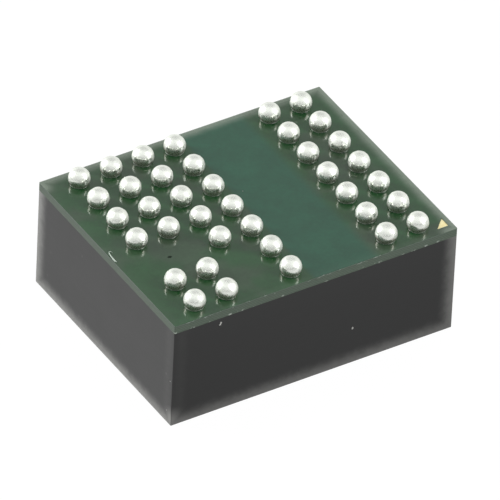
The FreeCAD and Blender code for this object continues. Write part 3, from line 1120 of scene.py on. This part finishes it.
class Workshop:
    """Turns finished meshes into pieces that ride on the frame."""

    def __init__(self, frame: Dict[str, Any]) -> None:
        self.nodes = frame["nodes"]
        self.made: Dict[str, Material] = {}

    def material(self, finish: SurfaceFinish) -> Material:
        """Build a finish's material on the first call, and find it on later ones.

        Args:
            finish: The finish.

        Returns:
            The material.
        """
        if finish.title not in self.made:
            self.made[finish.title] = finish.material()
        return self.made[finish.title]

    def dress(self, node: str, finish: SurfaceFinish) -> None:
        """Give a CAD node its finish.

        Args:
            node: The node's name.
            finish: The finish.
        """
        mesh = self.nodes[node].data
        mesh.materials.clear()
        mesh.materials.append(self.material(finish))
        LOG.info("%s: dressed in %s", node, finish.title)

    def merged(self, node: str) -> BMesh:
        """Copy a CAD node's mesh and join its loose triangles.

        Args:
            node: The node's name.

        Returns:
            The copy.
        """
        copy = bmesh.new()
        copy.from_mesh(self.nodes[node].data)
        bmesh.ops.remove_doubles(copy, verts=copy.verts, dist=JOIN_SLACK)
        return copy

    def piece(
        self,
        name: str,
        shape: BMesh,
        finish: SurfaceFinish,
        stands_for: Sequence[str] = (),
        smooth: bool = True,
    ) -> None:
        """Make a piece of a finished bmesh and free the bmesh.

        Args:
            name: The piece's name.
            shape: Its geometry, in place, in metres.
            finish: Its finish.
            stands_for: CAD nodes that it replaces.
            smooth: Whether its faces are shaded smooth.
        """
        for face in shape.faces:
            face.smooth = smooth
        made = show_mesh(name, shape, self.material(finish))
        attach(made, ROOT)
        if stands_for:
            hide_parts(*stands_for)
        LOG.info("%s: %d faces", name, len(made.data.polygons))


@dataclass
class SolderBall:
    """One reflowed ball: a sphere seated in its mask opening, with ripples and dents of its own."""

    diameter: float = 0.78
    neck_diameter: float = 0.64
    neck_height: float = 0.02
    foot_rise: float = 0.007
    foot_flare: float = 0.9
    segments: int = 64
    rings: int = 44
    ripple: float = 0.0045
    wide_waves: float = 2.1
    short_waves: float = 5.2
    short_share: float = 0.45
    inward: float = 0.55
    fade_height: float = 0.12
    dent_depth: float = 0.016
    dent_count: int = 6
    dent_rise: Step = (-0.35, 0.75)
    dent_reach: Step = (0.10, 0.26)
    dent_share: Step = (0.25, 1.0)
    noise_span: float = 40.0

    @property
    def seat_drop(self) -> float:
        """Distance from the ball's centre down to the mask."""
        return math.sqrt((self.diameter / 2) ** 2 - (self.neck_diameter / 2) ** 2)

    def shape(self, x: float, y: float, top: float, seed: int) -> BMesh:
        """Build the ball in place.

        Args:
            x: Place of the centre, in metres.
            y: Place of the centre, in metres.
            top: Height of the ball's highest point, in metres.
            seed: Chooses this ball's ripples and dents.

        Returns:
            Its geometry.
        """
        radius = self.diameter / 2
        ball = bmesh.new()
        bmesh.ops.create_uvsphere(
            ball, u_segments=self.segments, v_segments=self.rings, radius=radius * MM
        )
        bmesh.ops.bisect_plane(
            ball,
            geom=[*ball.verts, *ball.edges, *ball.faces],
            dist=CUT_SLACK,
            plane_co=(0.0, 0.0, (self.foot_rise - self.seat_drop) * MM),
            plane_no=(0.0, 0.0, -1.0),
            clear_outer=True,
        )
        self.mark(ball, random.Random(seed))
        rim = math.sqrt(radius ** 2 - (self.seat_drop - self.foot_rise) ** 2)
        spread = rim + self.foot_rise
        self.step(ball, spread / rim, self.foot_flare * self.foot_rise)
        self.step(ball, self.neck_diameter / 2 / spread, (1.0 - self.foot_flare) * self.foot_rise)
        self.step(ball, 1.0, self.neck_height)
        bmesh.ops.contextual_create(ball, geom=open_rim(ball))
        bmesh.ops.recalc_face_normals(ball, faces=ball.faces)
        bmesh.ops.translate(ball, verts=ball.verts, vec=(x, y, top - radius * MM))
        return ball

    def step(self, ball: BMesh, spread: float, drop: float) -> None:
        """Carry the open lower rim on by one ring.

        Args:
            ball: The truncated sphere, centred on the origin.
            spread: The new ring's radius as a share of the old one's.
            drop: How far the new ring is below the old one, in millimetres.
        """
        ring = vertices(bmesh.ops.extrude_edge_only(ball, edges=open_rim(ball))["geom"])
        bmesh.ops.scale(ball, verts=ring, vec=(spread, spread, 1.0))
        bmesh.ops.translate(ball, verts=ring, vec=(0.0, 0.0, -drop * MM))

    def mark(self, ball: BMesh, draw: random.Random) -> None:
        """Push the ball's skin in and out by its ripples and dents.

        Args:
            ball: The truncated sphere, centred on the origin.
            draw: The source of this ball's random numbers.
        """
        shift = Vector(draw.uniform(-self.noise_span, self.noise_span) for _axis in range(3))
        dents = []
        for _dent in range(self.dent_count):
            turn = draw.uniform(0.0, 2.0 * math.pi)
            rise = draw.uniform(*self.dent_rise)
            flat = math.sqrt(1.0 - rise * rise)
            aim = Vector((math.cos(turn) * flat, math.sin(turn) * flat, rise))
            dents.append((aim, draw.uniform(*self.dent_reach), draw.uniform(*self.dent_share)))
        for vertex in ball.verts:
            aim = vertex.co.normalized()
            fade = (vertex.co.z + self.seat_drop * MM) / (self.fade_height * MM)
            fade = max(0.0, min(1.0, fade))
            wave = noise.noise(aim * self.wide_waves + shift)
            wave += self.short_share * noise.noise(aim * self.short_waves + shift)
            push = self.ripple * (wave - self.inward)
            for centre, reach, share in dents:
                gap = (aim - centre).length / reach
                push -= self.dent_depth * share * math.exp(-gap * gap)
            vertex.co += aim * (push * fade * MM)


@dataclass
class BallGrid:
    """All solder balls of the module."""

    ball: SolderBall
    prefix: str = "solder_ball_"
    first_seed: int = 4100

    def build(self, shop: Workshop) -> None:
        """Put a finer ball in place of each CAD ball.

        Args:
            shop: The workshop.
        """
        names = sorted(name for name in shop.nodes if name.startswith(self.prefix))
        for number, name in enumerate(names):
            low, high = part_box(name)
            middle = (low + high) / 2
            shape = self.ball.shape(middle.x, middle.y, high.z, self.first_seed + number)
            site = name[len(self.prefix):]
            shop.piece(f"reflowed_ball_{site}", shape, SolderFinish(), [name])


@dataclass
class SawnPackage:
    """The mould cap, the laminate and the solder resist, with their outer edges just broken."""

    corner_break: float = 0.030
    segments: int = 3

    def outer_edges(self, shape: BMesh, low: Vector, high: Vector) -> List[Any]:
        """Find the edges where two outer sides of the box meet.

        Args:
            shape: A merged copy of the solid.
            low: Lowest corner of its box.
            high: Highest corner of its box.

        Returns:
            Those edges.
        """
        found = []
        for edge in shape.edges:
            sides = 0
            for axis in range(3):
                for level in (low[axis], high[axis]):
                    sides += all(abs(end.co[axis] - level) < SIDE_SLACK for end in edge.verts)
            if sides == 2 and len(edge.link_faces) == 2:
                found.append(edge)
        return found

    def broken(self, shop: Workshop, node: str, rest_face: bool) -> BMesh:
        """Break the outer upright edges of a solid.

        Args:
            shop: The workshop.
            node: The CAD node.
            rest_face: Whether the edges of its lowest face are broken too.

        Returns:
            A copy of the solid with its edges broken.
        """
        shape = shop.merged(node)
        low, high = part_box(node)
        chosen = []
        for edge in self.outer_edges(shape, low, high):
            start, end = (vertex.co.z for vertex in edge.verts)
            at_rest = abs(start - low.z) < SIDE_SLACK
            if abs(start - end) > SIDE_SLACK or (rest_face and at_rest):
                chosen.append(edge)
        bmesh.ops.bevel(
            shape,
            geom=chosen,
            offset=self.corner_break * MM,
            offset_type="OFFSET",
            affect="EDGES",
            segments=self.segments,
            profile=0.5,
            material=-1,
        )
        return shape

    def build(self, shop: Workshop) -> None:
        """Make the three pieces of the sawn stack.

        Args:
            shop: The workshop.
        """
        for name, node, slot, finish, rest_face in (
            ("sawn_mould_cap", "mould_cap", "mould_compound", MouldFinish(), True),
            ("sawn_laminate", "substrate_laminate", "laminate", LaminateFinish(), False),
            ("sawn_resist", "ball_side_mask", "solder_resist", ResistFinish(), False),
        ):
            shop.piece(name, self.broken(shop, node, rest_face), finish, [node], False)


@dataclass
class HandlingMarks:
    """Traces of sawing and handling: a curled burr, frayed glass ends, a near-black speck and dust specks.
    """

    strand_sides: int = 8
    burr_flatten: float = 0.55
    # Points of the burr: x, y, height over the resist and radius
    burr_line: Tuple[Tuple[float, float, float, float], ...] = (
        (-5.412, -0.060, 0.006, 0.005),
        (-5.430, -0.010, 0.024, 0.009),
        (-5.470, 0.022, 0.042, 0.012),
        (-5.524, 0.010, 0.050, 0.014),
        (-5.560, -0.060, 0.046, 0.018),
        (-5.570, -0.160, 0.036, 0.023),
        (-5.574, -0.270, 0.028, 0.028),
        (-5.582, -0.380, 0.020, 0.031),
        (-5.574, -0.490, 0.012, 0.024),
        (-5.537, -0.560, 0.004, 0.008),
    )
    glass_seed: int = 77
    glass_run: Step = (-5.2, 2.6)
    glass_length: Step = (0.05, 0.22)
    glass_below_top: Step = (0.01, 0.05)
    glass_tilt: float = 0.012
    glass_radius: Step = (0.004, 0.010)
    glass_ends: float = 0.5
    glass_lift_middle: float = 0.6
    glass_flatten: float = 0.7
    glass_stand: float = 0.002
    glass_bow: float = 0.003
    glass_gap: float = 0.34
    grain_seed: int = 5
    grain_lumps: float = 1.3
    grain_depth: float = 0.5
    noise_span: float = 9.0
    # The near-black speck on the resist: centre and half sizes
    pit: Tuple[Point, Point] = ((-3.83, -1.15, TOP), (0.078, 0.052, 0.009))
    # Dust specks: centre and half sizes
    dust: Tuple[Tuple[Point, Point], ...] = (
        ((-3.820, -HALF_WIDTH, 3.735), (0.046, 0.014, 0.044)),
        ((-3.788, -HALF_WIDTH, 3.795), (0.042, 0.014, 0.044)),
        ((1.55, -HALF_WIDTH, 1.52), (0.043, 0.013, 0.052)),
        ((-HALF_LENGTH, -4.35, 1.86), (0.008, 0.020, 0.016)),
        ((-HALF_LENGTH, -4.20, 0.50), (0.008, 0.022, 0.018)),
        ((-0.15, 1.30, TOP), (0.016, 0.014, 0.008)),
        ((0.25, 0.75, TOP), (0.014, 0.018, 0.008)),
        ((-0.20, -1.90, TOP), (0.018, 0.014, 0.008)),
    )

    def sweep(
        self,
        shape: BMesh,
        path: Sequence[Point],
        radii: Sequence[float],
        flatten: float,
    ) -> None:
        """Add a closed tapering strand along a path.

        Args:
            shape: Where it is added.
            path: Points of its middle line, in millimetres.
            radii: Its radius at each point, in millimetres.
            flatten: Its thickness as a share of its width.
        """
        points = [metres(point) for point in path]
        ring = bmesh.ops.create_circle(
            shape, segments=self.strand_sides, radius=1.0, cap_ends=True
        )["verts"]
        undo = Matrix.Identity(4)
        for number, point in enumerate(points):
            before = points[max(0, number - 1)]
            after = points[min(len(points) - 1, number + 1)]
            turn = (after - before).to_track_quat("Z", "Y").to_matrix().to_4x4()
            size = Matrix.Diagonal((radii[number] * MM, radii[number] * MM * flatten, 1.0, 1.0))
            if number:
                faces = [face for face in shape.faces if set(face.verts) == set(ring)]
                ring = vertices(bmesh.ops.extrude_face_region(shape, geom=faces)["geom"])
            place = Matrix.Translation(point) @ turn @ size
            bmesh.ops.transform(shape, matrix=place @ undo, verts=ring)
            undo = place.inverted()
        bmesh.ops.recalc_face_normals(shape, faces=shape.faces)

    def grain(
        self, shape: BMesh, place: Point, size: Point, draw: random.Random
    ) -> None:
        """Add one irregular speck.

        Args:
            shape: Where it is added.
            place: Its centre, in millimetres.
            size: Its half sizes, in millimetres.
            draw: The source of its random lumps.
        """
        made = bmesh.ops.create_icosphere(shape, subdivisions=2, radius=1.0)["verts"]
        shift = Vector(draw.uniform(-self.noise_span, self.noise_span) for _axis in range(3))
        for vertex in made:
            lump = noise.noise(vertex.co * self.grain_lumps + shift)
            vertex.co *= 1.0 + self.grain_depth * lump
        bmesh.ops.transform(shape, matrix=Matrix.Diagonal((*metres(size), 1.0)), verts=made)
        bmesh.ops.translate(shape, verts=made, vec=metres(place))

    def burr(self, shop: Workshop) -> None:
        """Make the curled sliver that stands on the -X edge of the resist, painted pale as its highlight.

        Args:
            shop: The workshop.
        """
        shape = bmesh.new()
        path = [(x, y, TOP + rise) for x, y, rise, _radius in self.burr_line]
        self.sweep(shape, path, [point[3] for point in self.burr_line], self.burr_flatten)
        shop.piece("resist_burr_painted_glint", shape, Finish.GLINTING_BURR.value)

    def frayed_glass(self, shop: Workshop) -> None:
        """Make the broken glass ends that glint along the -Y side of the board.

        Args:
            shop: The workshop.
        """
        draw = random.Random(self.glass_seed)
        shape = bmesh.new()
        side = -HALF_WIDTH - self.glass_stand
        x, last = self.glass_run
        while x < last:
            length = draw.uniform(*self.glass_length)
            height = TOP - draw.uniform(*self.glass_below_top)
            lift = draw.uniform(-self.glass_tilt, self.glass_tilt)
            path = (
                (x, side, height),
                (x + length / 2, side - self.glass_bow, height + lift * self.glass_lift_middle),
                (x + length, side, height + lift),
            )
            radius = draw.uniform(*self.glass_radius)
            end = radius * self.glass_ends
            self.sweep(shape, path, (end, radius, end), self.glass_flatten)
            x += length + draw.expovariate(1.0 / self.glass_gap)
        shop.piece("frayed_glass_ends", shape, Finish.GLASS.value)

    def specks(self, shop: Workshop) -> None:
        """Make the near-black speck on the resist and the dust on the resist and the sides.

        Args:
            shop: The workshop.
        """
        draw = random.Random(self.grain_seed)
        dark = bmesh.new()
        self.grain(dark, *self.pit, draw)
        shop.piece("dark_grain_in_resist", dark, Finish.DARK_SPECK.value)
        pale = bmesh.new()
        for place, size in self.dust:
            self.grain(pale, place, size, draw)
        shop.piece("dust_specks", pale, Finish.DUST.value)

    def build(self, shop: Workshop) -> None:
        """Make every mark.

        Args:
            shop: The workshop.
        """
        self.burr(shop)
        self.frayed_glass(shop)
        self.specks(shop)


class InnerParts:
    """Finishes of the copper, the mark and the parts that are moulded in."""

    plain: ClassVar[Dict[str, Finish]] = {
        "ball_side_copper": Finish.COPPER,
        "component_side_copper": Finish.COPPER,
        "pin_one_mark": Finish.PLATED,
        "controller_die": Finish.SILICON,
        "die_attach": Finish.ATTACH,
        "bond_wires": Finish.WIRE,
        "core_half_laminate_side": Finish.FERRITE,
        "core_half_marking_side": Finish.FERRITE,
        "coil_former": Finish.FORMER,
        "primary_winding": Finish.ENAMEL,
        "secondary_winding": Finish.INSULATED,
        "rectifier_diode": Finish.DIODE,
    }
    chips: ClassVar[Dict[str, Finish]] = {
        "input_capacitor": Finish.CERAMIC,
        "output_capacitor": Finish.CERAMIC,
        "bias_capacitor": Finish.CERAMIC,
        "feedback_resistor": Finish.FILM,
    }
    tin: ClassVar[Colour] = (0.72, 0.72, 0.70)

    def chip(self, node: str, body: GrainFinish) -> ChipFinish:
        """Fit the finish of a chip part to its box.

        Args:
            node: The CAD node.
            body: The finish between the ends.

        Returns:
            The finish.
        """
        low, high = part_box(node)
        middle = (low + high) / 2 / MM
        size = (high - low) / MM
        half_length = max(size.x, size.y) / 2
        along_y = size.y > size.x
        return ChipFinish(f"{node}_finish", body, self.tin, tuple(middle), half_length, along_y)

    def build(self, shop: Workshop) -> None:
        """Dress every inner node.

        Args:
            shop: The workshop.
        """
        for node, finish in self.plain.items():
            shop.dress(node, finish.value)
        for node, finish in self.chips.items():
            shop.dress(node, self.chip(node, finish.value))


@dataclass
class PhotoCamera:
    """The photograph's viewpoint: a long lens, high on the near corner's side."""

    azimuth: float = -33.12
    elevation: float = 38.23
    roll: float = 2.84
    distance: float = 432.6
    shift_right: float = -0.067
    shift_up: float = 1.528
    focal_pixels: float = 12679.7
    image_side: float = 500.0
    sensor: float = 36.0
    clip: Step = (10.0, 10000.0)

    def axes(self) -> Tuple[Vector, Vector, Vector]:
        """Work out how the camera is turned.

        Returns:
            Its right, up and backward directions.
        """
        tilt = math.radians(self.roll)
        back = heading(self.azimuth, self.elevation)
        level = heading(self.azimuth + 90.0, 0.0)
        upright = back.cross(level)
        right = level * math.cos(tilt) + upright * math.sin(tilt)
        up = upright * math.cos(tilt) - level * math.sin(tilt)
        return right, up, back

    def build(self) -> None:
        """Place the camera and make it the scene's."""
        right, up, back = self.axes()
        data = bpy.data.cameras.new("photo_camera")
        data.sensor_width = self.sensor
        data.lens = self.focal_pixels * self.sensor / self.image_side
        data.clip_start, data.clip_end = (reach * MM for reach in self.clip)
        spot = back * self.distance - right * self.shift_right - up * self.shift_up
        spot += Vector((0.0, 0.0, TOP))
        turned = Matrix((right, up, back)).transposed().to_4x4()
        made = show("photo_camera", data)
        made.matrix_world = Matrix.Translation(spot * MM) @ turned
        bpy.context.scene.camera = made


@dataclass(frozen=True)
class Softbox:
    """A rectangular diffuser, placed by its turn from the camera's azimuth and its rise."""

    title: str
    turn: float
    rise: float
    width: float
    height: float
    radiance: float
    distance: float = 160.0
    aim_height: float = 4.3

    def build(self, camera_azimuth: float) -> None:
        """Hang the lamp so that it faces the module.

        Args:
            camera_azimuth: The camera's azimuth, which turn is counted from.
        """
        aim = heading(camera_azimuth + self.turn, self.rise)
        lamp = bpy.data.lights.new(self.title, "AREA")
        lamp.shape = "RECTANGLE"
        lamp.size = self.width * MM
        lamp.size_y = self.height * MM
        lamp.energy = self.radiance * math.pi * self.width * self.height * MM * MM
        made = show(self.title, lamp)
        made.rotation_mode = "QUATERNION"
        made.rotation_quaternion = aim.to_track_quat("Z", "Y")
        made.location = (aim * self.distance + Vector((0.0, 0.0, self.aim_height))) * MM
        made.visible_camera = False


@dataclass
class Studio:
    """White table, white surround and the softboxes."""

    surround_on_surfaces: Step = (0.05, 1.10)
    surface_light_rise: float = 50.0
    surface_light_lobe: Step = (0.35, 0.95)
    surround_in_gloss: float = 1.0
    front: Step = (-0.1, 0.9)
    front_low: Step = (0.62, 0.10)
    front_shade: float = 0.38
    back_gap: Step = (0.80, 0.98)
    back_gap_rise: float = 55.0
    back_shade: float = 0.18
    sides: Step = (0.50, 0.95)
    side_glow: float = 0.22
    floor_side: float = 1200.0
    floor_gap_microns: float = 2.0
    floor_tone: float = 0.80
    floor_to_eye: float = 1.03
    white_share: float = 0.95
    # A shadow painted into the white that gloss sees, beside the -Y side of the module: its strength and
    # reach
    shaded_side_in_gloss: float = 0.68
    shaded_near: Step = (-1.0, -4.0)
    shaded_far: Step = (-13.0, -8.0)
    shaded_right_of: Step = (-6.0, -4.5)
    softboxes: Tuple[Softbox, ...] = (
        Softbox("overhead_box", 0.0, 74.0, 200.0, 150.0, 0.20),
        Softbox("left_box", -101.0, 25.0, 44.0, 95.0, 12.5),
        Softbox("right_box", 76.0, 30.0, 44.0, 108.0, 9.5),
    )

    def mirrored(self, graph: Graph, rays: Any) -> Socket:
        """Return 1 for gloss and glass rays, which show the white as the eye does."""
        return graph.most(rays["Is Glossy Ray"], rays["Is Transmission Ray"])

    def shade(self, graph: Graph, aim: Socket, azimuth: float) -> Socket:
        """Shape the reflections: some directions are less white than others.

        Args:
            graph: The world's graph.
            aim: The direction.
            azimuth: The camera's azimuth: low down on its side the surround is darker.

        Returns:
            The share of white.
        """
        toward = graph.along(aim, heading(azimuth, 0.0))
        low = graph.smooth(graph.split(aim)[2], *self.front_low)
        front = graph.times(graph.smooth(toward, *self.front), low)
        behind = graph.along(aim, heading(azimuth + 180.0, self.back_gap_rise))
        sideways = graph.math("ABSOLUTE", graph.along(aim, heading(azimuth + 90.0, 0.0)))
        return graph.times(
            graph.span(front, 1.0, 1.0 - self.front_shade),
            graph.span(graph.smooth(sideways, *self.sides), 1.0, 1.0 + self.side_glow),
            graph.span(graph.smooth(behind, *self.back_gap), 1.0, 1.0 - self.back_shade),
        )

    def hang_world(self, azimuth: float) -> None:
        """Make the surround: white to the eye and in gloss, softer and from behind as a light.

        Args:
            azimuth: The camera's azimuth.
        """
        world = bpy.data.worlds.new("white_surround")
        graph = Graph.of(world)
        rays = graph.node("ShaderNodeLightPath").outputs
        eye = rays["Is Camera Ray"]
        seen = graph.most(eye, self.mirrored(graph, rays))
        aim = graph.node("ShaderNodeTexCoord").outputs["Generated"]
        lit_from = heading(azimuth + 180.0, self.surface_light_rise)
        lobe = graph.smooth(graph.along(aim, lit_from), *self.surface_light_lobe)
        strength = graph.math(
            "ADD",
            graph.times(seen, self.surround_in_gloss),
            graph.times(
                graph.math("SUBTRACT", 1.0, seen), graph.span(lobe, *self.surround_on_surfaces)
            ),
        )
        shaded = graph.times(strength, graph.most(eye, self.shade(graph, aim, azimuth)))
        feeds = {"Color": (1.0, 1.0, 1.0), "Strength": shaded}
        sky = graph.fill(graph.node("ShaderNodeBackground"), feeds)
        graph.fill(graph.node("ShaderNodeOutputWorld"), {"Surface": sky.outputs[0]})
        bpy.context.scene.world = world

    def floor_material(self) -> Material:
        """Build the table's white, which keeps a faint shadow of the module.

        Returns:
            The material.
        """
        made = bpy.data.materials.new("white_table")
        graph = Graph.of(made)
        paper = graph.node("ShaderNodeBsdfDiffuse")
        graph.feed(paper.inputs["Color"], (self.floor_tone,) * 3)
        place = graph.scale(graph.node("ShaderNodeTexCoord").outputs["Object"], 1.0 / MM)
        x, y, _z = graph.split(place)
        # Painted shadow: beside the -Y side of the module, the white that gloss sees is dimmed
        beside = graph.times(
            graph.smooth(y, *self.shaded_near),
            graph.smooth(y, *self.shaded_far),
            graph.smooth(x, *self.shaded_right_of),
        )
        rays = graph.node("ShaderNodeLightPath").outputs
        white = graph.most(
            graph.times(rays["Is Camera Ray"], self.floor_to_eye),
            graph.span(beside, 1.0, self.shaded_side_in_gloss),
        )
        glow = graph.node("ShaderNodeEmission")
        graph.feed(glow.inputs["Strength"], white)
        seen = graph.times(rays["Is Camera Ray"], self.white_share)
        mix = graph.node("ShaderNodeMixShader")
        graph.feed(mix.inputs[0], graph.most(self.mirrored(graph, rays), seen))
        graph.feed(mix.inputs[1], paper.outputs[0])
        graph.feed(mix.inputs[2], glow.outputs[0])
        graph.fill(graph.node("ShaderNodeOutputMaterial"), {"Surface": mix.outputs[0]})
        return made

    def lay_floor(self) -> None:
        """Lay the table under the marking face."""
        shape = bmesh.new()
        bmesh.ops.create_grid(shape, x_segments=1, y_segments=1, size=self.floor_side / 2 * MM)
        drop = self.floor_gap_microns * MICRON
        bmesh.ops.translate(shape, verts=shape.verts, vec=(0.0, 0.0, -drop))
        table = show_mesh("white_table", shape, self.floor_material())

    def build(self, camera: PhotoCamera) -> None:
        """Set up the surround, the table and the lamps.

        Args:
            camera: The camera, whose azimuth the lamps are placed from.
        """
        self.hang_world(camera.azimuth)
        self.lay_floor()
        for box in self.softboxes:
            box.build(camera.azimuth)
        bpy.context.scene.view_settings.view_transform = "Standard"


def main() -> None:
    """Load the frame, build and dress each sub-assembly."""
    logging.basicConfig(level=logging.INFO, format="%(name)s: %(message)s")
    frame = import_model()
    camera = PhotoCamera()
    camera.build()
    Studio().build(camera)
    shop = Workshop(frame)
    InnerParts().build(shop)
    SawnPackage().build(shop)
    BallGrid(SolderBall()).build(shop)
    HandlingMarks().build(shop)


if __name__ == "__main__":
    main()
